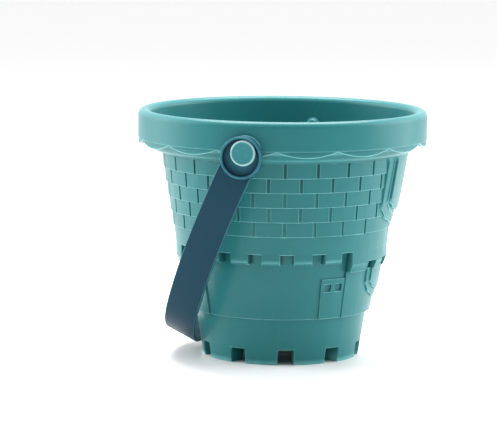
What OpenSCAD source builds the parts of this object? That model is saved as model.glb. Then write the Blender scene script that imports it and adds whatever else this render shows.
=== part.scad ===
// Castle sand bucket: a tapered pail that is also a sand mould, with a strap
// handle on two round buttons. All sizes are in millimetres.
// Origin: on the pail's axis, at the floor. +Z is up, the handle's buttons are
// on the Y axis, and the towers stand on the X axis.

/* [Pail] */
// Outside diameter of the collar
rim_d = 220; // [218:0.5:224]
// Height from the floor to the top of the rim
height = 188; // [187:0.5:196]
// Outside diameter at the feet
foot_d = 119; // [114:0.5:120]
// Thickness of the moulded wall
wall = 2.6; // [2.2:0.1:3]

/* [Brickwork] */
// Bricks in one course
bricks = 23; // [16:1:28]
// Courses of bricks
courses = 5; // [3:1:6]
// Width of the joint between two bricks
joint_w = 2; // [1:0.1:2.5]
// Depth of the joint between two bricks
joint_d = 1; // [0.6:0.1:1.4]
// How far each course stands out over the one below it
lap = 0.9; // [0.5:0.1:1.2]

/* [Battlements] */
// Angle from one notch to the next
notch_pitch = 17.3; // [17:0.1:17.6]
// Angle that one notch takes
notch_a = 7.4; // [6:0.1:9]
// Number of feet under the pail
feet = 10; // [8:2:14]

/* [Handle] */
// Width of the strap
strap_w = 25.5; // [22:0.5:26]
// Thickness of the strap
strap_t = 3; // [2.4:0.1:3.2]
// Distance from the pivots to the middle of the grip
reach = 170; // [169.5:0.5:172]
// Angle at which the handle hangs, from straight down
hang_a = 25.5; // [25.5:0.5:30]
// Outside diameter of the cup at each end
cup_d = 31.5; // [30:0.5:33]
// Diameter of the button's head
head_d = 19; // [16:0.5:20]

/* [Hidden] */
$fn = 96;
rim_r = rim_d / 2;
foot_r = foot_d / 2;

// Heights of the tiers, counted down from the rim
shelf_z = height - 32.6;
skirt_z = height - 21.7;
course_h = 11.1;
band_z = shelf_z - courses * course_h;
notch_z = band_z - 13.6;
merlon_z = notch_z - 7.8;
tower_notch_z = merlon_z - 0.6;
tower_band_z = tower_notch_z - 7.2;
tier_z = 35.5;
foot_h = 11.6;

// Radii of the tiers
shelf_r = 92.2;
taper = 0.17;
band_r = shelf_r - taper * (shelf_z - band_z) - lap / 2;
band_low_r = band_r - 1.4;
merlon_r = band_low_r - 0.2;
tier_r = 66.5;
recess_r = 75.1;
foot_top_r = tier_r - 1.3;

// Collar: a folded rim with a hollow behind its skirt
skirt_t = 2.8;
lip_t = 4.2;
bead_r = 4.6;
rim_in_r = rim_r - 2 * bead_r;
cone_r = rim_in_r + wall;
cone_z = skirt_z - 1.7;
seam_t = 0.4;

// Towers and the reliefs beside and over them
tower_half_a = 90 - 3 * notch_pitch - notch_a / 2;
window_half_a = 8.4;
tall_shield_half_a = 17;
tower_wall_r = 74.4;
tower_foot_r = 68.4;

// Scalloped lower edge of the skirt
scallops = 15;
scallop_drop = 4.4;

// Pivots
pivot_z = height - 22.2;
lug_r = 12.5;
lug_y = rim_r + 1.2;
web_y = lug_y + 0.3;
shaft_r = 5;
run_gap = 0.08;
fit_gap = 0.02;
cup_h = 6;
cup_wall = 2;
cup_shift = cup_d / 2 - cup_wall - head_d / 2 - 0.35;
head_h = 3.2;
head_y = web_y + strap_t + 0.3;
seat_y = 100.3;

function wall_r(z) = shelf_r - taper * (shelf_z - z);
function recess_wall_r(z) = tier_r + (recess_r - tier_r) * (z - tier_z) / (notch_z - tier_z);

// ---- Helpers: angles are counted from the front pivot (-Y) towards +X ----

// A wedge from the axis out to radius r, between two heights
module wedge(a, half_a, r, z0, z1) {
    rotate([0, 0, a - 90]) translate([0, 0, z0]) linear_extrude(z1 - z0)
        polygon([[0, 0], [r, -r * tan(half_a)], [r, r * tan(half_a)]]);
}

// A ring whose section is the given list of [radius, height] points
module ring(points) {
    rotate_extrude($fn = 180) polygon(points);
}

// A flat outline in the YZ plane, pushed out along X from the axis
module pushed_out(side) {
    rotate([0, 0, side > 0 ? 0 : 180]) rotate([90, 0, 90]) linear_extrude(rim_r) children();
}

// ---- Bucket: one moulding ----

// Section of the brick wall: every course is steeper than the taper, so it
// ends in a small ledge over the course below
function course_points() = [for (i = [courses:-1:1]) each [
    [wall_r(shelf_z - i * course_h) + lap / 2, shelf_z - i * course_h],
    [wall_r(shelf_z - (i - 1) * course_h) - lap / 2, shelf_z - (i - 1) * course_h]]];

module outer_body() {
    ring(concat(
        [[0, 0], [foot_r, 0], [foot_top_r, tier_z], [tier_r, tier_z],
         [recess_r, notch_z], [band_low_r, notch_z], [band_r, band_z]],
        course_points(),
        [[shelf_r, shelf_z], [shelf_r + 6.4, shelf_z + 2.2], [shelf_r + 9.5, shelf_z + 5.4],
         [cone_r, cone_z], [cone_r, height - bead_r], [0, height - bead_r]]));
}

// Rolled top edge and the skirt that hangs from it
module collar() {
    rotate_extrude($fn = 180) {
        translate([rim_r - bead_r, height - bead_r]) circle(bead_r);
        translate([rim_r - skirt_t, skirt_z]) square([skirt_t, height - bead_r - skirt_z]);
        translate([rim_r - lip_t, skirt_z]) square([lip_t, 4]);
    }
}

// Scalloped edge, a seam's depth inside the skirt above it
module fringe() {
    half_w = rim_r * sin(180 / scallops);
    arc_r = (half_w * half_w + scallop_drop * scallop_drop) / (2 * scallop_drop);
    low_z = skirt_z - seam_t - scallop_drop;
    intersection() {
        ring([[rim_r - lip_t + seam_t, low_z - 1], [rim_r - seam_t, low_z - 1],
              [rim_r - seam_t, skirt_z + 1], [rim_r - lip_t + seam_t, skirt_z + 1]]);
        union() for (i = [0:scallops - 1])
            rotate([0, 0, i * 360 / scallops]) translate([0, -80, low_z + arc_r])
                rotate([90, 0, 0]) cylinder(r = arc_r, h = 40, $fn = 180);
    }
}

// Cuts behind the skirt and inside the pail follow the outside at one wall's thickness
module cavity() {
    ring([[0, foot_h + wall], [foot_r - 0.2, foot_h + wall], [foot_top_r - wall, tier_z - wall],
          [tier_r - wall, tier_z], [recess_r - wall, notch_z + wall], [band_low_r - wall, notch_z + wall],
          [wall_r(band_z) - wall - lap / 2, band_z], [shelf_r - wall - 1, shelf_z + 1.4],
          [shelf_r + 5, shelf_z + 4.4], [shelf_r + 7.3, shelf_z + 6.8], [rim_in_r - 0.2, cone_z + 1],
          [rim_in_r, height - bead_r], [rim_in_r, height + 1], [0, height + 1]]);
}

// Upright joints, left out behind the tall shield
module brick_joints() {
    for (row = [0:courses - 1], i = [0:bricks - 1]) {
        a = (i + (row % 2) / 2) * 360 / bricks;
        z = shelf_z - (row + 0.5) * course_h;
        lean = atan((course_h * taper - lap) / course_h);
        if (abs(a - 90) > tall_shield_half_a)
            rotate([0, 0, a]) translate([0, -wall_r(z), z]) rotate([lean, 0, 0])
                cube([joint_w, 2 * joint_d, course_h - 0.6], center = true);
    }
}

// Notches between the merlons of the front and back walls
module wall_notches() {
    for (side = [0, 180], i = [-3:3])
        wedge(side + i * notch_pitch, notch_a / 2, rim_r, merlon_z - 1, notch_z);
}

// The wall's merlons, with a sloping foot, up to the towers
module wall_merlons() {
    difference() {
        ring([[recess_wall_r(merlon_z) - 1, merlon_z], [merlon_r - 1, merlon_z],
              [merlon_r, merlon_z + 1.5], [merlon_r, notch_z + 1], [recess_r - 1, notch_z + 1]]);
        wall_notches();
        for (side = [90, -90])
            wedge(side, tower_half_a + notch_a / 2, rim_r, merlon_z - 1, notch_z + 2);
    }
}

// A tower is flush with the band, carries its own notches, and steps in below them
module tower(side) {
    difference() {
        intersection() {
            ring([[tier_r - wall, tier_z], [tower_foot_r, tier_z], [tower_wall_r, tower_band_z],
                  [merlon_r - 2.4, tower_band_z], [merlon_r, tower_notch_z - 1],
                  [merlon_r, notch_z + 1], [recess_r - 1, notch_z + 1]]);
            wedge(side, tower_half_a, rim_r, tier_z - 1, notch_z + 2);
        }
        difference() {
            for (i = [-1:1])
                wedge(side + i * notch_pitch, notch_a / 2 + 0.6, rim_r, tower_band_z - 1, tower_notch_z);
            cylinder(r = tower_wall_r - 0.2, h = 200);
        }
    }
}

// Window block beside each tower
module window_block(a) {
    top_z = tower_band_z - 4.4;
    difference() {
        intersection() {
            ring([[tier_r - wall, tier_z], [tier_r + 1.2, tier_z], [recess_wall_r(top_z) + 1.2, top_z],
                  [recess_wall_r(top_z) - 1, top_z]]);
            wedge(a, window_half_a, rim_r, tier_z - 1, top_z + 1);
        }
        for (i = [-1, 1])
            rotate([0, 0, a + i * 3.9]) translate([0, -recess_wall_r(top_z - 6) - 1, top_z - 6.9])
                cube([5.8, 3, 5.8], center = true);
    }
}

// Shield: straight sides, and a foot that curves to a point
module shield(half_w, top_z, shoulder_z, tip_z) {
    low_z = tip_z + 0.37 * (shoulder_z - tip_z);
    polygon([[half_w * 1.06, top_z], [half_w, shoulder_z], [half_w * 0.62, low_z], [0, tip_z],
             [-half_w * 0.62, low_z], [-half_w, shoulder_z], [-half_w * 1.06, top_z]]);
}

// A relief that stands proud of a sloping wall, cut to an outline
module relief(side, low, high, proud) {
    intersection() {
        ring([[low[0] - 1.5, low[1]], [low[0] + proud, low[1]], [high[0] + proud, high[1]],
              [high[0] - 1.5, high[1]]]);
        pushed_out(side) children();
    }
}

// Tall nested shields on the brick wall, over the tower on +X
module tall_shields() {
    low = [wall_r(band_z), band_z];
    high = [shelf_r, shelf_z];
    relief(1, low, high, 1.5) shield(24, shelf_z, shelf_z - 38.4, shelf_z - 51.9);
    relief(1, low, high, 2.2) shield(17.5, shelf_z, shelf_z - 34.7, shelf_z - 44.9);
    relief(1, low, high, 4) shield(15.4, shelf_z, shelf_z - 34.2, shelf_z - 41.7);
}

// Nested shields on the tower's wall
module lower_shields(side) {
    low = [tower_foot_r, tier_z];
    high = [tower_wall_r, tower_band_z];
    relief(side, low, high, 1.5) shield(20, tower_band_z, tower_band_z - 11, tower_band_z - 24);
    relief(side, low, high, 2.8) shield(15.6, tower_band_z, tower_band_z - 10, tower_band_z - 18);
}

module lug(side) {
    translate([0, side * (shelf_r - 4), pivot_z]) rotate([-side * 90, 0, 0])
        cylinder(r = lug_r, h = lug_y - shelf_r + 4);
}

module lug_bore(side) {
    translate([0, side * 90, pivot_z]) rotate([-side * 90, 0, 0]) {
        cylinder(r = shaft_r + fit_gap, h = 40);
        cylinder(r = shaft_r + 3, h = seat_y - 90);
    }
}

// Gaps between the feet and the hollow under the pail, then the hollow inside
// each foot that shapes a sand merlon
module foot_cuts() {
    gap_half_a = 6;
    in_r = foot_r - 14;
    translate([0, 0, -1]) linear_extrude(foot_h + 1) {
        circle(in_r);
        for (i = [0:feet - 1]) rotate((i + 0.5) * 360 / feet - 90)
            polygon([[in_r / 2, -in_r / 2 * tan(gap_half_a)], [rim_r, -rim_r * tan(gap_half_a)],
                     [rim_r, rim_r * tan(gap_half_a)], [in_r / 2, in_r / 2 * tan(gap_half_a)]]);
    }
    for (i = [0:feet - 1]) intersection() {
        wedge(i * 360 / feet, 180 / feet - gap_half_a - 3, rim_r, wall, foot_h + wall + 1);
        difference() {
            cylinder(r = foot_r - wall, h = 40);
            translate([0, 0, -1]) cylinder(r = in_r + wall, h = 50);
        }
    }
}

module bucket() {
    color([0.36, 0.64, 0.66]) difference() {
        union() {
            difference() {
                outer_body();
                brick_joints();
            }
            collar();
            fringe();
            wall_merlons();
            for (side = [90, -90]) {
                tower(side);
                window_block(side - tower_half_a - window_half_a);
                window_block(side + tower_half_a + window_half_a);
            }
            tall_shields();
            for (side = [1, -1]) {
                lower_shields(side);
                lug(side);
            }
        }
        cavity();
        foot_cuts();
        for (side = [1, -1]) lug_bore(side);
    }
}

// ---- Handle: one moulded strap with a cup at each end ----

// The strap's centre line is a three-centred arch: two long side arcs and a grip arc
span = web_y + strap_t / 2;
rise = reach - cup_shift;
grip_r = 85;
side_r = (2 * grip_r * rise - rise * rise - span * span) / (2 * (grip_r - span));
side_a = atan((rise - grip_r) / (side_r - span));

function arc(centre, r, a0, a1, steps) =
    [for (i = [0:steps - 1]) let (a = a0 + (a1 - a0) * i / steps) centre + r * [cos(a), sin(a)]];

// One face of the strap, as a line that runs this far outside the centre line
function strap_face(out) = concat(
    arc([span - side_r, -cup_shift], side_r + out, 0, -side_a, 16),
    arc([0, grip_r - reach], grip_r + out, -side_a, side_a - 180, 64),
    arc([side_r - span, -cup_shift], side_r + out, side_a - 180, -180, 16),
    [[-span - out, -cup_shift]]);

module strap() {
    outer = strap_face(strap_t / 2);
    inner = strap_face(-strap_t / 2);
    rotate([90, 0, 90]) linear_extrude(strap_w, center = true)
        polygon(concat(outer, [for (i = [len(inner) - 1:-1:0]) inner[i]]));
}

module cup(side) {
    translate([0, side * web_y, 0]) rotate([-side * 90, 0, 0]) difference() {
        translate([0, side * cup_shift, 0]) cylinder(d = cup_d, h = cup_h);
        translate([0, side * cup_shift, strap_t]) cylinder(d = cup_d - 2 * cup_wall, h = cup_h);
        translate([0, 0, -1]) cylinder(r = shaft_r + run_gap, h = cup_h + 2);
    }
}

module handle() {
    color([0.15, 0.29, 0.38]) translate([0, 0, pivot_z]) rotate([0, hang_a, 0]) {
        difference() {
            strap();
            for (side = [1, -1]) translate([0, side * web_y, -cup_shift]) rotate([-side * 90, 0, 0])
                translate([0, 0, -1]) cylinder(d = cup_d - 1, h = cup_h + 2);
        }
        cup(1);
        cup(-1);
    }
}

// ---- Pivot buttons: headed pins that snap into the bucket's lugs ----

module pivot_button(side) {
    tip_y = seat_y - 4;
    rotate([0, 0, side > 0 ? 180 : 0]) translate([0, 0, pivot_z]) rotate([90, 0, 0]) difference() {
        rotate_extrude() {
            translate([0, tip_y]) square([shaft_r, head_y - tip_y + 0.1]);
            polygon([[0, tip_y], [shaft_r - 1, tip_y], [shaft_r + 1, seat_y - 1.4],
                     [shaft_r + 1, seat_y - 0.2], [0, seat_y - 0.2]]);
            translate([0, head_y]) square([head_d / 2, head_h - 1.2]);
            translate([0, head_y]) square([head_d / 2 - 1.2, head_h]);
            translate([head_d / 2 - 1.2, head_y + head_h - 1.2]) circle(1.2, $fn = 32);
        }
        translate([-1, -rim_r, tip_y - 1]) cube([2, 2 * rim_r, 8]);
    }
}

module pivot_button_front() {
    color([0.36, 0.64, 0.66]) pivot_button(-1);
}

module pivot_button_back() {
    color([0.36, 0.64, 0.66]) pivot_button(1);
}

bucket();
handle();
pivot_button_front();
pivot_button_back();
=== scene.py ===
"""Looks of the castle sand bucket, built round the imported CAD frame.

Angles round the pail are in degrees from the front pivot (-Y) towards +X. Lengths are in
millimetres until a mesh is made, and then in metres.
"""

import math

import bmesh
import bpy
from mathutils import Matrix, Vector


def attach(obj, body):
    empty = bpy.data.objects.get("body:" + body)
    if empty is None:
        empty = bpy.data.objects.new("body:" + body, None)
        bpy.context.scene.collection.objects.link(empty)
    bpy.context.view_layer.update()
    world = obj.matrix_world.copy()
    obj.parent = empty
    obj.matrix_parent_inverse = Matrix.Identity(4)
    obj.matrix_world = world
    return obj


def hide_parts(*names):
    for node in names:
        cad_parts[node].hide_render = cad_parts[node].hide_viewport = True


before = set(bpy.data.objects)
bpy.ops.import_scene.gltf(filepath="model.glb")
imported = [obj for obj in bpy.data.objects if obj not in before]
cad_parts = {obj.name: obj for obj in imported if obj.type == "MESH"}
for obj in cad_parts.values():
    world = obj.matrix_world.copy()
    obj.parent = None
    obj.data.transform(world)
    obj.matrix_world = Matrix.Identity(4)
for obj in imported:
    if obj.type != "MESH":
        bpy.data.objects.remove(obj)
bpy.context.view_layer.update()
MM = 0.001
scene = bpy.context.scene

# ---------------------------------------------------------------- sizes, as in the CAD

HEIGHT = 188.0
RIM_R = 110.0
FOOT_R = 59.5
WALL = 2.6
SHELF_Z = 155.4
SKIRT_Z = 166.3
COURSES = 5
COURSE_H = 11.1
BAND_Z = SHELF_Z - COURSES * COURSE_H
NOTCH_Z = BAND_Z - 13.6
MERLON_Z = NOTCH_Z - 7.8
TOWER_NOTCH_Z = MERLON_Z - 0.6
TOWER_BAND_Z = TOWER_NOTCH_Z - 7.2
TIER_Z = 35.5
FOOT_H = 11.6
SHELF_R = 92.2
TAPER = 0.17
LAP = 0.9
BAND_R = SHELF_R - TAPER * (SHELF_Z - BAND_Z) - LAP / 2
BAND_LOW_R = BAND_R - 1.4
TIER_R = 66.5
RECESS_R = 75.1
FOOT_TOP_R = TIER_R - 1.3
TOWER_WALL_R = 74.4
TOWER_FOOT_R = 68.4
BRICKS = 23
JOINT_W = 2.0
JOINT_D = 1.0
PITCH = 17.3
NOTCH_A = 7.4
TOWER_A = 90 - 3 * PITCH - NOTCH_A / 2
BLOCK_A = 16.8
FEET = 10
FOOT_GAP_A = 6.0
UNDER_R = FOOT_R - 14
CONE_R = 103.4
CONE_Z = SKIRT_Z - 1.7
SKIRT_IN_R = RIM_R - 2.8
LIP = 4.2
BEAD = 4.6
RIM_IN_R = RIM_R - 2 * BEAD
SCALLOPS = 15
SCALLOP_DROP = 4.4
SEAM = 0.4
PIVOT_Z = HEIGHT - 22.2
WEB_Y = RIM_R + 1.5
STRAP_W = 25.5
STRAP_T = 3.0
REACH = 170.0
HANG = math.radians(25.5)
CUP_R = 15.75
CUP_SHIFT = 3.9
CUP_H = 6.0
CUP_WALL = 2.0
HOLE_R = 5.08
HEAD_R = 9.5
HEAD_Y = WEB_Y + STRAP_T + 0.3
HEAD_H = 3.2
SHAFT_R = 5.0
SEAT_Y = 100.3
BARB_TIP_Y = SEAT_Y - 4
LUG_R = 12.5
LUG_Y = RIM_R + 1.2
LUG_ROOT_Y = SHELF_R + 9
TALL_SHIELD_HALF_A = 17.0

# Roundings of the lug and the button's head, which the CAD leaves sharp or a little tighter
LUG_EDGE = 0.6
HEAD_EDGE = 1.25
# The bead's rise is a hair under its radius, so that the skin stays inside the CAD's box
BEAD_TOP = 4.585

# Points closer than this to an edge count as on it
TOUCH = 0.005
# Points closer than this are merged, and faces thinner than this are dissolved
MERGE = 0.004
SLIVER = 0.003
# Widest and narrowest steps between two columns of the skin, in degrees
MAX_STEP_A = 3.0
MIN_STEP_A = 0.012
# Narrowest step between two rows
MIN_STEP_Z = 0.008

# Quarter of a round, as (distance from the edge, drop), in radii
ROUND = [(0.0, 1.0), (0.134, 0.5), (0.5, 0.134), (1.0, 0.0)]


def wall_r(z):
    return SHELF_R - TAPER * (SHELF_Z - z)


def recess_r(z):
    return TIER_R + (RECESS_R - TIER_R) * (z - TIER_Z) / (NOTCH_Z - TIER_Z)


def lerp(a, b, t):
    return a + (b - a) * t


def drop(d, e):
    """How far a face has fallen away at distance d inside an edge rounded to radius e."""
    if d >= e:
        return 0.0
    d = max(d, 0.0)
    return e - math.sqrt(e * e - (e - d) ** 2)


def polar(a, r, z):
    t = math.radians(a)
    return (r * math.sin(t), -r * math.cos(t), z)


# ---------------------------------------------------------------- mesh helpers


class Shell:
    """A closed skin made of rings of points, each joined to the one before."""

    def __init__(self):
        self.verts, self.faces = [], []
        self.last, self.last_angles = None, None

    def add(self, points):
        start = len(self.verts)
        self.verts += points
        return list(range(start, len(self.verts)))

    def ring(self, angles, point_at):
        """A ring at these angles, joined to the last one. point_at(angle) gives (r, z)."""
        ids = self.add([polar(a, *point_at(a)) for a in angles])
        if self.last is not None:
            if len(self.last) == 1:
                c = self.last[0]
                n = len(ids)
                self.faces += [(c, ids[(i + 1) % n], ids[i]) for i in range(n)]
            elif self.last_angles == angles:
                strip(self.faces, self.last, ids)
            else:
                self.stitch(self.last, self.last_angles, ids, angles)
        self.last, self.last_angles = ids, angles

    def tip(self, point):
        """A single point that closes the skin at either end."""
        (c,) = self.add([point])
        if self.last is not None:
            n = len(self.last)
            self.faces += [
                (self.last[i], self.last[(i + 1) % n], c) for i in range(n)
            ]
        self.last, self.last_angles = [c], None

    def stitch(self, low, low_a, high, high_a):
        """Joins two rings that have different numbers of points."""
        n, m, i, j = len(low), len(high), 0, 0
        while i < n or j < m:
            next_low = low_a[i + 1] if i + 1 < n else low_a[0] + 360
            next_high = high_a[j + 1] if j + 1 < m else high_a[0] + 360
            if j >= m or (i < n and next_low <= next_high):
                self.faces.append((low[i], low[(i + 1) % n], high[j % m]))
                i += 1
            else:
                self.faces.append((low[i % n], high[(j + 1) % m], high[j]))
                j += 1


def strip(faces, low, high, closed=True):
    n = len(low)
    for i in range(n if closed else n - 1):
        k = (i + 1) % n
        faces.append((low[i], low[k], high[k], high[i]))


def columns(edges, radius, gap):
    """Angles for a band: close together round each (angle, offsets in mm) edge, and never
    further apart than gap degrees."""
    marks = []
    for a, offsets in edges:
        marks += [(a + math.degrees(o / radius)) % 360 for o in offsets]
    kept = []
    for a in sorted(marks):
        if not kept or a - kept[-1] > MIN_STEP_A:
            kept.append(a)
    out = []
    for i, a in enumerate(kept):
        b = kept[i + 1] if i + 1 < len(kept) else kept[0] + 360
        n = max(1, math.ceil((b - a) / gap))
        out += [a + (b - a) * k / n for k in range(n)]
    return sorted(a % 360 for a in out)


def share(x, low, high):
    """0 up to low, 1 from high on, and a straight line between."""
    return min(1.0, max(0.0, (x - low) / (high - low)))


def wear_highlight_and_shade(v, upright):
    """How much an edge is lightened, partly as wear and partly as a painted highlight, and how much
    a corner is darkened with painted shade, each from 0 to 1. Edges that run up and down are
    lightened by the upright share alone, and corners that run level are darkened by that share."""
    bends = [math.degrees(e.calc_face_angle_signed(0)) for e in v.link_edges
             if len(e.link_faces) == 2] or [0.0]
    lie = share(abs(v.normal.z), 0.22, 0.47)
    wear_and_highlight = share(max(bends), 13, 25) * (upright + (1 - upright) * lie)
    corner_shade = share(-min(bends), 20, 45) * (1 - (1 - upright) * lie)
    return wear_and_highlight, corner_shade


def make(name, verts, faces, body, material, rubbed_and_lit=None, upright=1.0, sharp=38):
    """An object from points in millimetres, with its close points merged, its faces turned
    outwards, and its edges sharper than the given angle marked. The rubbed test of a vertex says
    where its edges take wear and a painted highlight; without it they all can."""
    bm = bmesh.new()
    vs = [bm.verts.new((x * MM, y * MM, z * MM)) for x, y, z in verts]
    for f in faces:
        if len(set(f)) > 2:
            try:
                bm.faces.new([vs[i] for i in f])
            except ValueError:
                pass
    bmesh.ops.remove_doubles(bm, verts=bm.verts, dist=MERGE * MM)
    bmesh.ops.dissolve_degenerate(bm, edges=bm.edges, dist=SLIVER * MM)
    bmesh.ops.recalc_face_normals(bm, faces=bm.faces)
    for e in bm.edges:
        if len(e.link_faces) == 2 and e.calc_face_angle(0) > math.radians(sharp):
            e.smooth = False
    for f in bm.faces:
        f.smooth = True
    bm.normal_update()
    # Per point: a painted highlight, partly wear, on convex edges, and painted shade in concave corners
    marks = [wear_highlight_and_shade(v, upright) for v in bm.verts]
    wear_and_highlight = [m[0] if rubbed_and_lit is None or rubbed_and_lit(v) else 0.0 for m, v in zip(marks, bm.verts)]
    mesh = bpy.data.meshes.new(name)
    bm.to_mesh(mesh)
    bm.free()
    mesh.attributes.new("edge_wear_and_highlight", "FLOAT", "POINT").data.foreach_set("value", wear_and_highlight)
    corner_shade = [m[1] for m in marks]
    mesh.attributes.new("painted_corner_shade", "FLOAT", "POINT").data.foreach_set("value", corner_shade)
    mesh.materials.append(material)
    obj = bpy.data.objects.new(name, mesh)
    scene.collection.objects.link(obj)
    normals = obj.modifiers.new("normals", "WEIGHTED_NORMAL")
    normals.keep_sharp = True
    normals.weight = 60
    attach(obj, body)
    return obj


# ---------------------------------------------------------------- materials


def new_material(name):
    m = bpy.data.materials.new(name)
    m.use_nodes = True
    nt = m.node_tree
    nt.nodes.clear()
    out = nt.nodes.new("ShaderNodeOutputMaterial")
    bsdf = nt.nodes.new("ShaderNodeBsdfPrincipled")
    nt.links.new(bsdf.outputs["BSDF"], out.inputs["Surface"])
    return m, nt, bsdf


def noise_node(nt, coords, scale, detail, rough=0.5):
    n = nt.nodes.new("ShaderNodeTexNoise")
    n.inputs["Scale"].default_value = scale
    n.inputs["Detail"].default_value = detail
    n.inputs["Roughness"].default_value = rough
    nt.links.new(coords.outputs["Object"], n.inputs["Vector"])
    return n


def ranged(nt, source, low, high, out_low, out_high):
    r = nt.nodes.new("ShaderNodeMapRange")
    r.inputs["From Min"].default_value = low
    r.inputs["From Max"].default_value = high
    r.inputs["To Min"].default_value = out_low
    r.inputs["To Max"].default_value = out_high
    nt.links.new(source, r.inputs["Value"])
    return r


# Noise scales, from broad clouds of colour to the mould's fine grain
CLOUD = 14
WANDER = 38
WAVE = 46
PATCH = 120
FLECK = 900
GRAIN = 2600
# Painted shade: the tint that darkens concave corners
CORNER_SHADE_TINT = (0.22, 0.42, 0.46)


def moulded_plastic(name, dark, light, worn_and_lit, rough, grain, sheen, specular):
    """Satin moulded polypropylene: a soft cloud of colour, fine spark-eroded grain, slow
    waves where the moulding has shrunk, and roughness that wanders a little. Edges are
    lightened with wear and a painted highlight, and corners darkened with painted shade."""
    m, nt, bsdf = new_material(name)
    coords = nt.nodes.new("ShaderNodeTexCoord")
    cloud = noise_node(nt, coords, CLOUD, 3)
    fleck = noise_node(nt, coords, FLECK, 2, 0.6)
    mix = nt.nodes.new("ShaderNodeMix")
    mix.data_type = "RGBA"
    mix.inputs["A"].default_value = (*dark, 1)
    mix.inputs["B"].default_value = (*light, 1)
    clouded = ranged(nt, cloud.outputs["Fac"], 0.3, 0.7, 0.0, 1.0)
    nt.links.new(clouded.outputs["Result"], mix.inputs["Factor"])
    tint = nt.nodes.new("ShaderNodeMix")
    tint.data_type = "RGBA"
    tint.blend_type = "MULTIPLY"
    tint.inputs["Factor"].default_value = 1.0
    shade = ranged(nt, fleck.outputs["Fac"], 0.25, 0.75, 0.955, 1.03)
    nt.links.new(mix.outputs["Result"], tint.inputs["A"])
    nt.links.new(shade.outputs["Result"], tint.inputs["B"])
    # Painted highlight, partly wear: convex edges are lightened towards the worn colour
    edge = nt.nodes.new("ShaderNodeAttribute")
    edge.attribute_name = "edge_wear_and_highlight"
    patchy = noise_node(nt, coords, PATCH, 3)
    patches = ranged(nt, patchy.outputs["Fac"], 0.3, 0.7, 0.6, 1.0)
    wear_and_highlight = nt.nodes.new("ShaderNodeMath")
    wear_and_highlight.operation = "MULTIPLY"
    nt.links.new(edge.outputs["Fac"], wear_and_highlight.inputs[0])
    nt.links.new(patches.outputs["Result"], wear_and_highlight.inputs[1])
    rubbed_and_lit = nt.nodes.new("ShaderNodeMix")
    rubbed_and_lit.data_type = "RGBA"
    rubbed_and_lit.inputs["B"].default_value = (*worn_and_lit, 1)
    nt.links.new(wear_and_highlight.outputs["Value"], rubbed_and_lit.inputs["Factor"])
    nt.links.new(tint.outputs["Result"], rubbed_and_lit.inputs["A"])
    # Painted shade: concave corners are darkened by the corner tint
    corner = nt.nodes.new("ShaderNodeAttribute")
    corner.attribute_name = "painted_corner_shade"
    shaded = nt.nodes.new("ShaderNodeMix")
    shaded.data_type = "RGBA"
    shaded.blend_type = "MULTIPLY"
    shaded.inputs["B"].default_value = (*CORNER_SHADE_TINT, 1)
    nt.links.new(corner.outputs["Fac"], shaded.inputs["Factor"])
    nt.links.new(rubbed_and_lit.outputs["Result"], shaded.inputs["A"])
    nt.links.new(shaded.outputs["Result"], bsdf.inputs["Base Color"])
    wander = noise_node(nt, coords, WANDER, 4)
    rough_map = ranged(nt, wander.outputs["Fac"], 0.3, 0.7, rough - 0.045, rough + 0.05)
    nt.links.new(rough_map.outputs["Result"], bsdf.inputs["Roughness"])
    grain_noise = noise_node(nt, coords, GRAIN, 2, 0.55)
    wave = noise_node(nt, coords, WAVE, 1)
    low = nt.nodes.new("ShaderNodeBump")
    low.inputs["Strength"].default_value = 0.05
    low.inputs["Distance"].default_value = 0.0009
    nt.links.new(wave.outputs["Fac"], low.inputs["Height"])
    fine = nt.nodes.new("ShaderNodeBump")
    fine.inputs["Strength"].default_value = grain
    fine.inputs["Distance"].default_value = 0.0001
    nt.links.new(grain_noise.outputs["Fac"], fine.inputs["Height"])
    nt.links.new(low.outputs["Normal"], fine.inputs["Normal"])
    nt.links.new(fine.outputs["Normal"], bsdf.inputs["Normal"])
    bsdf.inputs["IOR"].default_value = 1.49
    bsdf.inputs["Specular IOR Level"].default_value = specular
    bsdf.inputs["Sheen Weight"].default_value = sheen
    bsdf.inputs["Sheen Roughness"].default_value = 0.4
    return m


# The third colour of each is a painted highlight along convex edges, partly wear
TEAL = moulded_plastic(
    "teal_plastic", (0.023, 0.206, 0.220), (0.028, 0.226, 0.239), (0.30, 0.80, 0.82),
    0.34, 0.10, 0.11, 0.30,
)
NAVY = moulded_plastic(
    "navy_plastic", (0.0056, 0.050, 0.084), (0.0068, 0.056, 0.092), (0.060, 0.270, 0.340),
    0.34, 0.08, 0.02, 0.16,
)
BUTTON = moulded_plastic(
    "button_plastic", (0.040, 0.255, 0.280), (0.046, 0.275, 0.300), (0.62, 0.95, 0.96),
    0.30, 0.06, 0.04, 0.3,
)


# ---------------------------------------------------------------- the pail's moulding

EDGE = 0.45
PROUD_UP = [-0.5, -0.01, 0.0, 0.06, 0.225, 0.45, 0.8]
PROUD_DOWN = [-x for x in PROUD_UP]


def quadrants(half_angles):
    """The same edges on both sides of the front and of the back."""
    out = []
    for f, way in half_angles:
        up, down = (PROUD_UP, PROUD_DOWN) if way > 0 else (PROUD_DOWN, PROUD_UP)
        out += [(f, up), (-f, down), (180 - f, down), (180 + f, up)]
    return out


# ---- feet and the underside

gap_centres = [(i + 0.5) * 360 / FEET for i in range(FEET)]
foot_edges = []
for c in gap_centres:
    foot_edges += [(c - FOOT_GAP_A, PROUD_DOWN), (c + FOOT_GAP_A, PROUD_UP)]
FOOT_COLS = columns(foot_edges, FOOT_R, MAX_STEP_A)


def foot_inside(a):
    """How far a column is inside its foot, in mm along the outside; negative in a gap."""
    nearest = min(abs((a - c + 180) % 360 - 180) for c in gap_centres)
    return math.radians(nearest - FOOT_GAP_A) * FOOT_R


def foot_wall_r(z):
    return lerp(FOOT_R, FOOT_TOP_R, z / TIER_Z)


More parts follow.
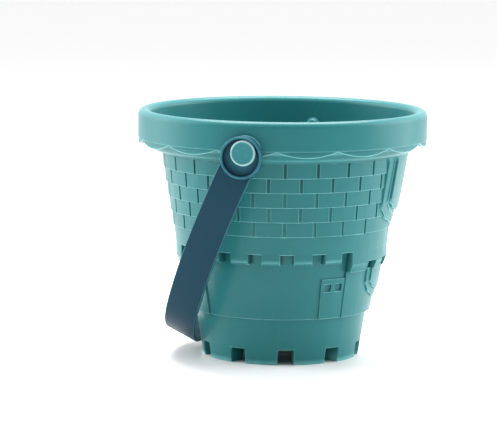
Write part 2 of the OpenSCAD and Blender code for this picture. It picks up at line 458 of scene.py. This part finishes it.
pail = Shell()
pail.tip((0, 0, FOOT_H))


def under(r, z):
    """A ring under the pail, which stays at the floor's level between the feet."""

    def at(a):
        d = foot_inside(a)
        fall = drop(d, EDGE)
        if d < -TOUCH:
            return (r, FOOT_H)
        return (min(max(r, UNDER_R + fall), FOOT_R - fall), min(z + fall, FOOT_H))

    pail.ring(FOOT_COLS, at)


for r in (14, 32, UNDER_R - 0.5):
    pail.ring(FOOT_COLS, lambda a: (r, FOOT_H))
under(UNDER_R, FOOT_H)
for off, fall in ROUND[::-1]:
    under(UNDER_R + EDGE * fall, EDGE * off)
under(UNDER_R + 5, 0)
under(FOOT_R - 4, 0)
for off, fall in ROUND[::-1]:
    under(FOOT_R - EDGE * off, EDGE * fall)


def foot_ring(z):
    """A ring round the feet, which stays over the gaps between them."""

    def at(a):
        d = foot_inside(a)
        if d < -TOUCH:
            over = max(z, FOOT_H)
            return (foot_wall_r(over) - drop(over - FOOT_H, EDGE), over)
        fall = drop(d, EDGE)
        if z > FOOT_H:
            fall = 0 if z > FOOT_H + 0.6 else fall * 0.4
        return (foot_wall_r(z) - fall, z)

    pail.ring(FOOT_COLS, at)


over_gap = [FOOT_H + x for x in (-0.4, -0.01, 0.06, 0.23, 0.45, 1.0)]
for z in [0.6, 4, 8] + over_gap + [17, 23, 29, TIER_Z - 0.9]:
    foot_ring(z)


# ---- battlements

NOTCHES = [0.0, PITCH, 2 * PITCH, 3 * PITCH]
HALF = NOTCH_A / 2
MERLON_EASE = 1.5
TOWER_HALF = HALF + 0.6
BLOCK_TOP = TOWER_BAND_Z - 4.4
WINDOW_Z = BLOCK_TOP - 6.9
WINDOW_H = 2.9
WINDOW_OFF_A = 3.9
WINDOWS = [TOWER_A + BLOCK_A / 2 + way * WINDOW_OFF_A for way in (-1, 1)]
WINDOW_WALL_R = 71.0
WINDOW_A = math.degrees(WINDOW_H / WINDOW_WALL_R)
KEEP_MID_R = 78
MM_PER_DEG = math.radians(1) * KEEP_MID_R


def merlon_r(z):
    if z < MERLON_Z + MERLON_EASE:
        return lerp(BAND_LOW_R - 1, BAND_LOW_R - 0.1, max(0, z - MERLON_Z) / MERLON_EASE)
    t = (z - MERLON_Z - MERLON_EASE) / (NOTCH_Z - MERLON_Z - MERLON_EASE)
    return lerp(BAND_LOW_R - 0.1, BAND_LOW_R, t)


def band_r(z):
    return lerp(BAND_LOW_R, BAND_R, (z - NOTCH_Z) / (BAND_Z - NOTCH_Z))


def tower_band_r(z):
    if z < TOWER_NOTCH_Z - 1:
        t = (z - TOWER_BAND_Z) / (TOWER_NOTCH_Z - 1 - TOWER_BAND_Z)
        return lerp(BAND_LOW_R - 2.6, BAND_LOW_R - 0.2, max(0, t))
    return BAND_LOW_R - 0.15


def tower_r(z):
    t = min(1, (z - TIER_Z) / (TOWER_BAND_Z - TIER_Z))
    return lerp(TOWER_FOOT_R, TOWER_WALL_R, t)


# Plates that stand out from the recessed wall: (least and greatest angle from the tower's
# middle, lowest and highest z, radius as a function of z). None marks an edge that runs on.
PLATES = [(None, None, NOTCH_Z, None, band_r)]
for i in range(3):
    near = 90 - (NOTCHES[i + 1] - HALF)
    far = 90 - (NOTCHES[i] + HALF)
    PLATES.append((near, far, MERLON_Z, None, merlon_r))
PLATES.append((None, TOWER_A, None, None, tower_r))
PLATES.append((TOWER_HALF, PITCH - TOWER_HALF, TOWER_BAND_Z, None, tower_band_r))
PLATES.append((PITCH + TOWER_HALF, TOWER_A, TOWER_BAND_Z, None, tower_band_r))
PLATES.append((None, TOWER_A, TOWER_NOTCH_Z, None, tower_band_r))
PLATES.append(
    (TOWER_A - 0.5, TOWER_A + BLOCK_A, None, BLOCK_TOP, lambda z: recess_r(z) + 1.2)
)


def window_depth(b, z):
    """How far inside a window's edge a point is, in mm; negative outside the windows."""
    across = min(abs(b - w) for w in WINDOWS)
    return min((WINDOW_A - across) * MM_PER_DEG, WINDOW_H - abs(z - WINDOW_Z))


def keep_r(a, z):
    """The outside radius between the tier line and the lowest course."""
    b = abs((a - 90) % 180)
    b = min(b, 180 - b)
    best = recess_r(z)
    for near, far, low, high, radius in PLATES:
        room = []
        if near is not None:
            room.append((b - near) * MM_PER_DEG)
        if far is not None:
            room.append((far - b) * MM_PER_DEG)
        if low is not None:
            room.append(z - low)
        if high is not None:
            room.append(high - z)
        d = min(room)
        if high is not None:
            w = window_depth(b, z)
            if w > -TOUCH:
                continue
            d = min(d, -w)
        if d < -TOUCH:
            continue
        best = max(best, radius(z) - drop(d, EDGE))
    if window_depth(b, z) > 0 and z < BLOCK_TOP:
        best = recess_r(z) - 0.5
    return best


def around_tower(angles):
    """Edges at these angles from each tower's middle, proud on the given side."""
    out = []
    for b, way in angles:
        up, down = (PROUD_UP, PROUD_DOWN) if way > 0 else (PROUD_DOWN, PROUD_UP)
        for c in (90, 270):
            out += [(c + b, up), (c - b, down)]
    return out


keep_edges = []
for i, f in enumerate(NOTCHES):
    if f:
        keep_edges += quadrants([(f - HALF, -1)])
    if i < 3:
        keep_edges += quadrants([(f + HALF, 1)])
keep_edges += around_tower([(TOWER_A, -1), (TOWER_HALF, 1)])
keep_edges += around_tower([(PITCH - TOWER_HALF, -1), (PITCH + TOWER_HALF, 1)])
keep_edges += around_tower([(TOWER_A + BLOCK_A, -1)])
for w in WINDOWS:
    keep_edges += around_tower([(w - WINDOW_A, -1), (w + WINDOW_A, 1)])
KEEP_COLS = columns(keep_edges, KEEP_MID_R, MAX_STEP_A)


def z_edge(z, up):
    """Heights round an edge, close together on the side that stands proud."""
    return [z + (o if up else -o) for o in PROUD_UP]


keep_rows = [TIER_Z + EDGE, 42, 50]
keep_rows += z_edge(WINDOW_Z - WINDOW_H, False) + z_edge(WINDOW_Z + WINDOW_H, True)
keep_rows += z_edge(BLOCK_TOP, False) + z_edge(TOWER_BAND_Z, True)
keep_rows += [73.5, TOWER_NOTCH_Z - 1]
keep_rows += z_edge(TOWER_NOTCH_Z, True) + z_edge(MERLON_Z, True)
keep_rows += [MERLON_Z + MERLON_EASE, 82.5] + z_edge(NOTCH_Z, True)
keep_rows += [90, 94.5, BAND_Z - 0.6, BAND_Z - 0.01]
rows = []
for z in sorted(keep_rows):
    if not rows or z - rows[-1] > MIN_STEP_Z:
        rows.append(z)

pail.ring(FOOT_COLS, lambda a: (FOOT_TOP_R - 0.03, TIER_Z - 0.01))
pail.ring(KEEP_COLS, lambda a: (FOOT_TOP_R + 0.4, TIER_Z))
for off, fall in ROUND[:-1]:
    z = TIER_Z + EDGE * off
    pail.ring(KEEP_COLS, lambda a: (keep_r(a, TIER_Z + EDGE) - EDGE * fall, z))
for z in rows:
    pail.ring(KEEP_COLS, lambda a: (keep_r(a, z), z))


# ---- courses of bricks

BRICK_EDGE = 0.4
GROOVE = [JOINT_W / 2 + x for x in (-0.33, -0.09, -0.03, 0.07, 0.40)]
GROOVE_DEPTH = [1.0, 0.94, 0.42, 0.14, 0.0]
BESIDE_JOINT = 1.8
BRICK_MID_R = 88
joint_angles = [[(i + (row % 2) / 2) * 360 / BRICKS for i in range(BRICKS)] for row in range(2)]


def behind_shield(a):
    return abs(a % 360 - 90) < TALL_SHIELD_HALF_A


def groove(a, course, r):
    """Depth of the joints between the bricks of one course at this angle."""
    angles = [j for j in joint_angles[course % 2] if not behind_shield(j)]
    x = math.radians(min(abs((a - j + 180) % 360 - 180) for j in angles)) * r
    if x <= GROOVE[0]:
        return JOINT_D
    for k in range(len(GROOVE) - 1):
        if x <= GROOVE[k + 1]:
            t = (x - GROOVE[k]) / (GROOVE[k + 1] - GROOVE[k])
            return JOINT_D * lerp(GROOVE_DEPTH[k], GROOVE_DEPTH[k + 1], t)
    return 0.0


brick_edges = [
    (j, [-BESIDE_JOINT, BESIDE_JOINT] + [-x for x in GROOVE] + GROOVE)
    for angles in joint_angles for j in angles if not behind_shield(j)
]
BRICK_COLS = columns(brick_edges, BRICK_MID_R, MAX_STEP_A)


def brick_r(a, course, z, fall):
    top = SHELF_Z - course * COURSE_H
    t = (top - z) / COURSE_H
    r = lerp(wall_r(top) - LAP / 2, wall_r(top - COURSE_H) + LAP / 2, t)
    return r - fall - groove(a, course, r)


for course in range(COURSES - 1, -1, -1):
    z0 = SHELF_Z - (course + 1) * COURSE_H
    steps = [(z0 + BRICK_EDGE * off, BRICK_EDGE * fall) for off, fall in ROUND]
    steps += [(z0 + 0.75, 0), (z0 + COURSE_H / 2, 0), (z0 + COURSE_H - 1.0, 0)]
    steps += [(z0 + COURSE_H - 0.3, 0), (z0 + COURSE_H - 0.01, 0.0)]
    for z, fall in steps:
        pail.ring(BRICK_COLS, lambda a: (brick_r(a, course, z, fall), z))


# ---- collar: cove, hollow, scalloped skirt, rolled rim

CUSPS = [(i + 0.5) * 360 / SCALLOPS for i in range(SCALLOPS)]
COLLAR_COLS = columns([(c, [-2.4, -1.2, -0.5, 0, 0.5, 1.2, 2.4]) for c in CUSPS], RIM_R, 1.6)
HALF_PITCH_W = RIM_R * math.sin(math.pi / SCALLOPS)
ARC_R = (HALF_PITCH_W**2 + SCALLOP_DROP**2) / (2 * SCALLOP_DROP)
FRINGE_R = RIM_R - SEAM
FRINGE_IN_R = RIM_R - LIP + SEAM
BEAD_STEPS = 20


def scallop_z(a):
    """Height of the scalloped edge at this angle."""
    pitch = 360 / SCALLOPS
    x = RIM_R * math.sin(math.radians((a + pitch / 2) % pitch - pitch / 2))
    return SKIRT_Z - SEAM - SCALLOP_DROP + ARC_R - math.sqrt(ARC_R**2 - x * x)


for r, z in (
    (SHELF_R - 0.45, SHELF_Z), (SHELF_R - 0.25, SHELF_Z + 0.01), (SHELF_R - 0.05, SHELF_Z + 0.08),
    (SHELF_R + 0.2, SHELF_Z + 0.24), (SHELF_R + 0.6, SHELF_Z + 0.36), (SHELF_R + 3.0, SHELF_Z + 1.05),
    (SHELF_R + 5.6, SHELF_Z + 1.95), (SHELF_R + 7.4, SHELF_Z + 3.1), (SHELF_R + 8.9, SHELF_Z + 4.8),
    (SHELF_R + 10.1, SHELF_Z + 6.9), (CONE_R - 0.2, CONE_Z - 0.8), (CONE_R, CONE_Z + 1.5),
    (CONE_R, HEIGHT - BEAD - 5), (CONE_R + 0.6, HEIGHT - BEAD - 4),
    (SKIRT_IN_R - 0.6, HEIGHT - BEAD - 4), (SKIRT_IN_R, HEIGHT - BEAD - 5),
    (SKIRT_IN_R, SKIRT_Z + 5), (SKIRT_IN_R - 0.9, SKIRT_Z + 4),
):
    pail.ring(COLLAR_COLS, lambda a: (r, z))


def fringe_round(a):
    return min(0.7, SKIRT_Z - 0.05 - scallop_z(a))


for off, fall in ROUND[::-1]:
    pail.ring(
        COLLAR_COLS,
        lambda a: (FRINGE_IN_R + fringe_round(a) * fall, scallop_z(a) + fringe_round(a) * off),
    )
for off, fall in ROUND[::-1]:
    pail.ring(
        COLLAR_COLS,
        lambda a: (FRINGE_R - fringe_round(a) * off, scallop_z(a) + fringe_round(a) * fall),
    )
pail.ring(COLLAR_COLS, lambda a: (FRINGE_R, SKIRT_Z - 0.02))
for r, z in ((RIM_R - 0.2, SKIRT_Z), (RIM_R - 0.06, SKIRT_Z + 0.07), (RIM_R, SKIRT_Z + 0.25)):
    pail.ring(COLLAR_COLS, lambda a: (r, z))
for z in (SKIRT_Z + 1.2, SKIRT_Z + 5.2, SKIRT_Z + 8.7, SKIRT_Z + 12.7):
    pail.ring(COLLAR_COLS, lambda a: (RIM_R, z))
for k in range(BEAD_STEPS + 1):
    t = math.pi * k / BEAD_STEPS
    r, z = RIM_R - BEAD + BEAD * math.cos(t), HEIGHT - BEAD + BEAD_TOP * math.sin(t)
    pail.ring(COLLAR_COLS, lambda a: (r, z))
pail.ring(COLLAR_COLS, lambda a: (RIM_IN_R - 0.1, HEIGHT - 10))

# ---- inside

hollow_edges = []
HOLLOW_A = 180 / FEET - FOOT_GAP_A - 3
HOLLOW_MID_R = 54
HOLLOW_DEPTH = 11.6
for i in range(FEET):
    c = i * 360 / FEET
    hollow_edges += [(c - HOLLOW_A, [-0.5, 0, 0.02, 0.5]), (c + HOLLOW_A, [-0.5, -0.02, 0, 0.5])]
INSIDE_COLS = columns(hollow_edges, HOLLOW_MID_R, MAX_STEP_A)

INSIDE = [
    (RIM_IN_R - 0.2, CONE_Z + 1.6),
    (RIM_IN_R - 0.5, CONE_Z - 0.6),
    (SHELF_R + 7.2, SHELF_Z + 6.7),
    (SHELF_R + 5, SHELF_Z + 4.4),
    (SHELF_R + 1.2, SHELF_Z + 2.8),
    (SHELF_R - WALL - 0.2, SHELF_Z + 2.0),
    (SHELF_R - WALL - 1, SHELF_Z + 1.0),
    (lerp(wall_r(BAND_Z) - WALL - LAP / 2, SHELF_R - WALL - 1, 0.66), SHELF_Z - 19),
    (lerp(wall_r(BAND_Z) - WALL - LAP / 2, SHELF_R - WALL - 1, 0.33), SHELF_Z - 37),
    (wall_r(BAND_Z) - WALL - LAP / 2, BAND_Z),
    (BAND_LOW_R - WALL, NOTCH_Z + WALL + 0.6),
    (BAND_LOW_R - WALL - 0.2, NOTCH_Z + WALL + 0.15),
    (BAND_LOW_R - WALL - 0.7, NOTCH_Z + WALL),
    (RECESS_R - WALL + 0.5, NOTCH_Z + WALL),
    (RECESS_R - WALL, NOTCH_Z + WALL - 0.6),
    (lerp(RECESS_R, TIER_R, 0.4) - WALL, lerp(NOTCH_Z, TIER_Z, 0.4)),
    (lerp(RECESS_R, TIER_R, 0.75) - WALL, lerp(NOTCH_Z, TIER_Z, 0.75)),
    (TIER_R - WALL, TIER_Z + 0.4),
    (TIER_R - WALL - 0.4, TIER_Z - 0.6),
    (FOOT_TOP_R - WALL, TIER_Z - WALL),
    (FOOT_R + 0.9, 22),
    (FOOT_R - 0.1, FOOT_H + WALL + 1.2),
    (FOOT_R - 0.5, FOOT_H + WALL + 0.3),
    (FOOT_R - 1.4, FOOT_H + WALL),
]
for r, z in INSIDE:
    pail.ring(INSIDE_COLS, lambda a: (r, z))


def in_hollow(a):
    near = min(abs((a - i * 360 / FEET + 180) % 360 - 180) for i in range(FEET))
    return near <= HOLLOW_A + 0.001


FLOOR = FOOT_H + WALL
OUT_R, IN_R = FOOT_R - WALL, UNDER_R + WALL
for r, depth in (
    (OUT_R + 0.3, 0), (OUT_R, 0.3), (OUT_R - 0.02, HOLLOW_DEPTH - 0.4), (OUT_R - 0.5, HOLLOW_DEPTH),
    (IN_R + 0.5, HOLLOW_DEPTH), (IN_R + 0.02, HOLLOW_DEPTH - 0.4), (IN_R, 0.3), (IN_R - 0.3, 0),
):
    pail.ring(INSIDE_COLS, lambda a: (r, FLOOR - (depth if in_hollow(a) else 0)))
for r in (38, 24, 10):
    pail.ring(INSIDE_COLS, lambda a: (r, FLOOR))
pail.tip((0, 0, FLOOR))


# ---- shields: plates with a pointed foot, pushed out of a sloping wall

SHIELD_EDGE = 0.5
SHIELD_COLS = 8
SHIELD_ROWS = 9


def inset(points, d):
    """A convex outline moved in by d, with its corners kept in order."""
    out = []
    n = len(points)
    for i in range(n):
        p, q, s = Vector(points[i - 1]), Vector(points[i]), Vector(points[(i + 1) % n])
        u, v = (q - p).normalized(), (s - q).normalized()
        nu, nv = Vector((-u.y, u.x)), Vector((-v.y, v.x))
        out.append(q + (nu + nv) * (d / (1 + nu.dot(nv))))
    return out


def shield(verts, faces, side, low, high, half_w, top, shoulder, tip, proud, base):
    """low and high are (radius, z) on the wall that carries it; base is how deep it starts."""
    low_z = tip + 0.37 * (shoulder - tip)
    outline = [(0, tip), (half_w * 0.62, low_z), (half_w, shoulder), (half_w * 1.06, top),
               (-half_w * 1.06, top), (-half_w, shoulder), (-half_w * 0.62, low_z)]

    def place(w, z, out):
        r = lerp(low[0], high[0], (z - low[1]) / (high[1] - low[1])) + out
        x = math.sqrt(max(r * r - w * w, 0))
        return (side * x, side * w, z)

    rounded = [(SHIELD_EDGE * off, proud - SHIELD_EDGE * fall) for off, fall in ROUND]
    levels = [(0.0, base)] + rounded + [(0.9, proud)]
    loops = []
    for d, out in levels:
        c = inset(outline, d)
        right = [c[0].lerp(c[1], k / 3) for k in range(3)] + [c[1].lerp(c[2], k / 3) for k in range(3)]
        right += [c[2].lerp(c[3], k / SHIELD_ROWS) for k in range(SHIELD_ROWS + 1)]
        left = [Vector((-p.x, p.y)) for p in right[1:]]
        across = [c[3].lerp(c[4], k / SHIELD_COLS) for k in range(1, SHIELD_COLS)]
        loop = right + across + left[::-1]
        start = len(verts)
        verts.extend(place(p.x, p.y, out) for p in loop)
        ids = list(range(start, len(verts)))
        if loops:
            strip(faces, loops[-1], ids)
        loops.append(ids)
        last = (right, left, out)
    # the face is a grid between the two sides of the last loop
    ids = loops[-1]
    right, left, out = last
    n = len(right)
    top_row = [ids[n - 1 + k] for k in range(SHIELD_COLS + 1)]
    previous = [ids[0]]
    for j in range(1, n):
        if j == n - 1:
            row = top_row
        else:
            p, q = right[j], left[j - 1]
            start = len(verts)
            shares = [k / SHIELD_COLS for k in range(1, SHIELD_COLS)]
            verts.extend(place(lerp(p.x, q.x, k), p.y, out) for k in shares)
            row = [ids[j]] + list(range(start, len(verts))) + [ids[len(ids) - j]]
        if len(previous) == 1:
            for k in range(SHIELD_COLS):
                faces.append((previous[0], row[k], row[k + 1]))
        else:
            strip(faces, previous, row, closed=False)
        previous = row


# Nested plates: (half width, drop to the shoulder, drop to the tip, how proud, how deep it starts)
TALL_SHIELDS = [(24, 38.4, 51.9, 1.5, -1.5), (17.5, 34.7, 44.9, 2.2, 0.6), (15.4, 34.2, 41.7, 4.0, 1.2)]
LOWER_SHIELDS = [(20, 11, 24, 1.5, -1.0), (15.6, 10, 18, 2.8, 0.6)]


def nested(plates, side, low, high, hang_z, top):
    """Plates one on another, measured down from hang_z."""
    for half_w, drop_s, drop_t, proud, base in plates:
        shield(pail.verts, pail.faces, side, low, high, half_w, top, hang_z - drop_s,
               hang_z - drop_t, proud, base)


nested(TALL_SHIELDS, 1, (wall_r(BAND_Z), BAND_Z), (SHELF_R, SHELF_Z), SHELF_Z, SHELF_Z + 1.2)
for side in (1, -1):
    nested(LOWER_SHIELDS, side, (TOWER_FOOT_R, TIER_Z), (TOWER_WALL_R, TOWER_BAND_Z),
           TOWER_BAND_Z, TOWER_BAND_Z + 0.8)


# ---- lugs: round bosses that carry the pivots


def lathe_y(verts, faces, side, profile, centres=None, steps=72):
    """Turns (radius, distance along the pivot axis) points about that axis. A radius of 0
    closes an end. centres gives each point's own centre as (x, z)."""
    loops = []
    for k, (r, y) in enumerate(profile):
        cx, cz = centres[k] if centres else (0.0, 0.0)
        start = len(verts)
        if r == 0:
            verts.append((cx, side * y, cz))
        else:
            for i in range(steps):
                t = 2 * math.pi * i / steps
                verts.append((cx + r * math.cos(t), side * y, cz + r * math.sin(t)))
        ids = list(range(start, len(verts)))
        if loops:
            a = loops[-1]
            if len(a) == 1:
                faces.extend((a[0], ids[i], ids[(i + 1) % steps]) for i in range(steps))
            elif len(ids) == 1:
                faces.extend((ids[0], a[(i + 1) % steps], a[i]) for i in range(steps))
            else:
                strip(faces, a, ids)
        loops.append(ids)
    return loops


def raised(verts, first):
    for i in range(first, len(verts)):
        x, y, z = verts[i]
        verts[i] = (x, y, z + PIVOT_Z)


for side in (1, -1):
    first = len(pail.verts)
    lathe_y(
        pail.verts, pail.faces, side,
        [(0, LUG_ROOT_Y), (LUG_R, LUG_ROOT_Y)]
        + [(LUG_R - LUG_EDGE * fall, LUG_Y - LUG_EDGE * off) for off, fall in ROUND[::-1]]
        + [(6, LUG_Y), (0, LUG_Y)],
    )
    raised(pail.verts, first)


def faces_outwards(v):
    return v.normal.x * v.co.x + v.normal.y * v.co.y > -0.001


bucket = make("pail_moulding", pail.verts, pail.faces, "pail", TEAL,
              faces_outwards, upright=0.25)
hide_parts("bucket")


# ---------------------------------------------------------------- buttons

for name, side in (("front", -1), ("back", 1)):
    verts, faces = [], []
    end = HEAD_Y + HEAD_H
    profile = [(0, BARB_TIP_Y), (SHAFT_R - 1, BARB_TIP_Y), (SHAFT_R + 1, SEAT_Y - 1.4)]
    profile += [(SHAFT_R + 1, SEAT_Y - 0.2), (SHAFT_R, SEAT_Y - 0.2), (SHAFT_R, HEAD_Y)]
    profile += [(HEAD_R - 0.3, HEAD_Y), (HEAD_R - 0.08, HEAD_Y + 0.08), (HEAD_R, HEAD_Y + 0.3)]
    for k in range(5):
        t = math.pi / 2 * k / 4
        r = HEAD_R - HEAD_EDGE + HEAD_EDGE * math.cos(t)
        profile.append((r, end - HEAD_EDGE + HEAD_EDGE * math.sin(t)))
    dish_r = HEAD_R - HEAD_EDGE
    profile += [(dish_r - 0.35, end - 0.06), (dish_r - 0.7, end - 0.2)]
    profile += [(4, end - 0.22), (0, end - 0.22)]
    lathe_y(verts, faces, side, profile, steps=96)
    raised(verts, 0)
    button = make("pivot_button_" + name + "_finish", verts, faces, "pail",
                  BUTTON, lambda v: abs(v.co.y) > (HEAD_Y + 0.5) * MM)
    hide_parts("pivot_button_" + name)


# ---------------------------------------------------------------- handle

SPAN = WEB_Y + STRAP_T / 2
RISE = REACH - CUP_SHIFT
GRIP_R = 85.0
SIDE_R = (2 * GRIP_R * RISE - RISE**2 - SPAN**2) / (2 * (GRIP_R - SPAN))
SIDE_A = math.atan((RISE - GRIP_R) / (SIDE_R - SPAN))
SIDE_LEN = SIDE_R * SIDE_A
GRIP_LEN = GRIP_R * (math.pi - 2 * SIDE_A)
ARCH_LEN = 2 * SIDE_LEN + GRIP_LEN
STRAP_EDGE = 0.75
# The strap starts this far along the arch, inside the cup, and its end is shaped to the cup's
# curve over the next stretch
ROOT_R = CUP_R - 1.3
ROOT_LEN = 14
STRAP_STEPS = 84


def arch(t):
    """The strap's centre line hanging straight down, t from 0 at one cup to 1 at the other:
    (y, z) and the outward normal."""
    s = t * ARCH_LEN
    if s < SIDE_LEN:
        ang = -s / SIDE_R
        c = (SPAN - SIDE_R, -CUP_SHIFT)
        r = SIDE_R
    elif s < SIDE_LEN + GRIP_LEN:
        ang = -SIDE_A - (s - SIDE_LEN) / GRIP_R
        c = (0.0, GRIP_R - REACH)
        r = GRIP_R
    else:
        ang = -math.pi + SIDE_A - (s - SIDE_LEN - GRIP_LEN) / SIDE_R
        c = (SIDE_R - SPAN, -CUP_SHIFT)
        r = SIDE_R
    ny, nz = math.cos(ang), math.sin(ang)
    return (c[0] + r * ny, c[1] + r * nz), (ny, nz)


def strap_section():
    """Rounded strip, as (across, out) points."""
    e = STRAP_EDGE
    w, t = STRAP_W / 2 - e, STRAP_T / 2 - e
    out = []
    for cx, cy, a0 in ((w, t, 0), (-w, t, 90), (-w, -t, 180), (w, -t, 270)):
        for k in range(5):
            a = math.radians(a0 + 90 * k / 4)
            out.append((cx + e * math.cos(a), cy + e * math.sin(a)))
        if a0 in (0, 180):
            way = -1 if a0 == 0 else 1
            for k in range(1, 6):
                out.append((-way * w + way * k / 6 * 2 * w, -way * (t + e)))
    return out


verts, faces = [], []
section = strap_section()
strap_len = ARCH_LEN - 2 * ROOT_R
step = (strap_len - 2 * ROOT_LEN) / STRAP_STEPS
stations = [0, 2, 5, 9] + [ROOT_LEN + k * step for k in range(STRAP_STEPS + 1)]
stations += [strap_len - x for x in (9, 5, 2, 0)]
loops = []
for s in stations:
    ids = []
    for w, o in section:
        reach_in = math.sqrt(max(ROOT_R**2 - w * w, 0))
        near_start = max(0.0, 1 - s / ROOT_LEN)
        near_end = max(0.0, 1 - (strap_len - s) / ROOT_LEN)
        pos = ROOT_R + s - (ROOT_R - reach_in) * near_start + (ROOT_R - reach_in) * near_end
        (y, z), (ny, nz) = arch(pos / ARCH_LEN)
        verts.append((w, y + o * ny, z + o * nz))
        ids.append(len(verts) - 1)
    if loops:
        strip(faces, loops[-1], ids)
    loops.append(ids)
for ids in (loops[0], loops[-1]):
    verts.append(tuple(sum(verts[i][k] for i in ids) / len(ids) for k in range(3)))
    c = len(verts) - 1
    faces += [(ids[i], ids[(i + 1) % len(ids)], c) for i in range(len(ids))]

for side in (1, -1):
    web, lip = WEB_Y + STRAP_T, WEB_Y + CUP_H
    inner = CUP_R - CUP_WALL
    out_c, hole_c = (0.0, -CUP_SHIFT), (0.0, 0.0)
    lip_r = CUP_WALL / 2
    profile = [(HOLE_R, WEB_Y + 0.3, hole_c), (HOLE_R + 0.3, WEB_Y, hole_c),
               (CUP_R - 1.6, WEB_Y, out_c), (CUP_R - 0.5, WEB_Y, out_c),
               (CUP_R - 0.13, WEB_Y + 0.13, out_c), (CUP_R, WEB_Y + 0.5, out_c),
               (CUP_R, lip - 2.2, out_c)]
    for k in range(9):
        t = math.pi * k / 8
        profile.append((CUP_R - lip_r + lip_r * math.cos(t), lip - lip_r + lip_r * math.sin(t), out_c))
    profile += [(inner, web + 0.8, out_c), (inner - 0.2, web + 0.25, out_c), (inner - 0.8, web, out_c),
                (HOLE_R + 0.3, web, hole_c), (HOLE_R, web - 0.3, hole_c)]
    loops = lathe_y(verts, faces, side, [p[:2] for p in profile], [p[2] for p in profile], 96)
    strip(faces, loops[-1], loops[0])

turn = Matrix.Rotation(HANG, 3, "Y")
verts = [tuple(turn @ Vector(v) + Vector((0, 0, PIVOT_Z))) for v in verts]
handle = make("handle_strap", verts, faces, "bail", NAVY)
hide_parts("handle")


# ---------------------------------------------------------------- floor, light, camera


def floor_plane(size, colour, bounce, rough):
    """A pale floor, with colour for the camera and bounce for the light it gives back."""
    mesh = bpy.data.meshes.new("floor")
    s = size / 2
    mesh.from_pydata([(-s, -s, 0), (s, -s, 0), (s, s, 0), (-s, s, 0)], [], [(0, 1, 2, 3)])
    obj = bpy.data.objects.new("floor", mesh)
    scene.collection.objects.link(obj)
    m, nt, bsdf = new_material("floor")
    coords = nt.nodes.new("ShaderNodeTexCoord")
    n = noise_node(nt, coords, 3, 2)
    r = ranged(nt, n.outputs["Fac"], 0.3, 0.7, rough - 0.03, rough + 0.03)
    nt.links.new(r.outputs["Result"], bsdf.inputs["Roughness"])
    seen = nt.nodes.new("ShaderNodeLightPath")
    shade = nt.nodes.new("ShaderNodeMix")
    shade.data_type = "RGBA"
    shade.inputs["A"].default_value = (*bounce, 1)
    shade.inputs["B"].default_value = (*colour, 1)
    nt.links.new(seen.outputs["Is Camera Ray"], shade.inputs["Factor"])
    nt.links.new(shade.outputs["Result"], bsdf.inputs["Base Color"])
    mesh.materials.append(m)


floor_plane(12, (0.97, 0.97, 0.97), (0.68, 0.68, 0.68), 0.7)


def area(name, location, target, size, size_y, power):
    """A soft box that faces the target, with its size in metres and its power in watts."""
    data = bpy.data.lights.new(name, "AREA")
    data.shape = "RECTANGLE"
    data.size = size
    data.size_y = size_y
    data.energy = power
    obj = bpy.data.objects.new(name, data)
    obj.location = location
    direction = Vector(target) - Vector(location)
    obj.rotation_euler = direction.to_track_quat("-Z", "Y").to_euler()
    scene.collection.objects.link(obj)


CAM_A = math.radians(14.2)
right = Vector((math.cos(CAM_A), math.sin(CAM_A), 0))
towards = Vector((math.sin(CAM_A), -math.cos(CAM_A), 0))
AIM = Vector((0, 0, 0.10))


def from_camera(side_m, near_m, up_m):
    """A point given as seen from the camera: to its right, towards it, and up."""
    return right * side_m + towards * near_m + Vector((0, 0, up_m))


area("left_box", from_camera(-1.3, -0.2, 0.55), AIM, 1.2, 1.2, 14)
area("right_box", from_camera(1.3, -0.2, 0.55), AIM, 1.2, 1.2, 15)
area("top_box", from_camera(0.0, -0.4, 1.25), AIM, 1.1, 0.7, 27)

# The room is brighter above and behind the pail than in front of it
world = bpy.data.worlds.new("studio")
scene.world = world
world.use_nodes = True
nt = world.node_tree
background = nt.nodes["Background"]
coords = nt.nodes.new("ShaderNodeTexCoord")
facing = nt.nodes.new("ShaderNodeVectorMath")
facing.operation = "DOT_PRODUCT"
facing.inputs[1].default_value = (-towards * 0.78 + Vector((0, 0, 0.62))).normalized()
nt.links.new(coords.outputs["Generated"], facing.inputs[0])
level = nt.nodes.new("ShaderNodeMapRange")
level.interpolation_type = "SMOOTHSTEP"
level.inputs["From Min"].default_value = -0.75
level.inputs["From Max"].default_value = 0.55
level.inputs["To Min"].default_value = 0.16
level.inputs["To Max"].default_value = 1.12
nt.links.new(facing.outputs["Value"], level.inputs["Value"])
nt.links.new(level.outputs["Result"], background.inputs["Strength"])
background.inputs["Color"].default_value = (1, 1, 1, 1)
scene.view_settings.view_transform = "Standard"

cam_data = bpy.data.cameras.new("camera")
cam = bpy.data.objects.new("camera", cam_data)
scene.collection.objects.link(cam)
scene.camera = cam
DISTANCE = 2.2775
CAM_Z = 0.4059
PITCH_DOWN = 0.12951
YAW = 0.011167
ROLL = 0.008144
FOCAL = 217.3
cam_data.sensor_width = 36
cam_data.lens = FOCAL
cam_data.clip_start, cam_data.clip_end = 0.05, 60
ahead_flat = -towards * math.cos(YAW) - right * math.sin(YAW)
side_dir = right * math.cos(YAW) - towards * math.sin(YAW)
ahead = ahead_flat * math.cos(PITCH_DOWN) - Vector((0, 0, math.sin(PITCH_DOWN)))
up_dir = ahead_flat * math.sin(PITCH_DOWN) + Vector((0, 0, math.cos(PITCH_DOWN)))
cam_right = side_dir * math.cos(ROLL) + up_dir * math.sin(ROLL)
cam_up = up_dir * math.cos(ROLL) - side_dir * math.sin(ROLL)
basis = Matrix((cam_right, cam_up, -ahead)).transposed().to_4x4()
cam.matrix_world = Matrix.Translation(towards * DISTANCE + Vector((0, 0, CAM_Z))) @ basis
